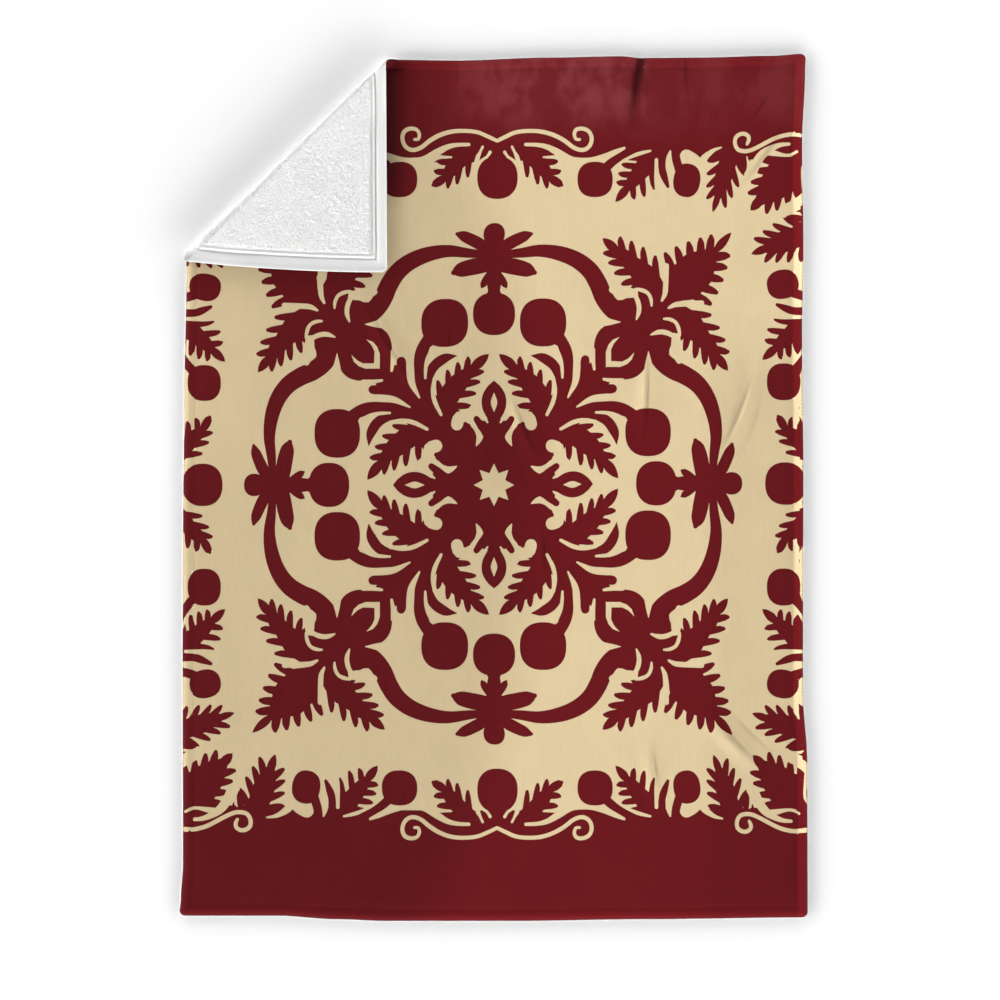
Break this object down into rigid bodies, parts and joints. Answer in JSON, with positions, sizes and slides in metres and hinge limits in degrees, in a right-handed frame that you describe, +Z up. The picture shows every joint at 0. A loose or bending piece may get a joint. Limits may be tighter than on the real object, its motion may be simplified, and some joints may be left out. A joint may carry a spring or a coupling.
{
  "type": "sherpa-backed fleece quilt",
  "caption": "Throw-size fleece quilt with a face printed in maroon on sand and a sherpa back, laid flat with its far left corner turned over to show the back.",
  "frame": {"origin": "middle of the quilt's underside, at the centre of its box, on the surface it lies on", "axes": "+X across the quilt to its right, +Y along it towards the end with the turned corner, +Z up"},
  "size_m": [1.4584, 2.015, 0.0254],
  "materials": {
    "printed_fleece": "short brushed plush, sand ground with a maroon leaf and fruit print, soft and matte",
    "sherpa_fleece": "curly white sherpa pile, matte, flattened to a smooth band along the hem"
  },
  "bodies": {
    "root": {"face": "printed_fleece", "sherpa_back": "sherpa_fleece"}
  },
  "joints": []
}
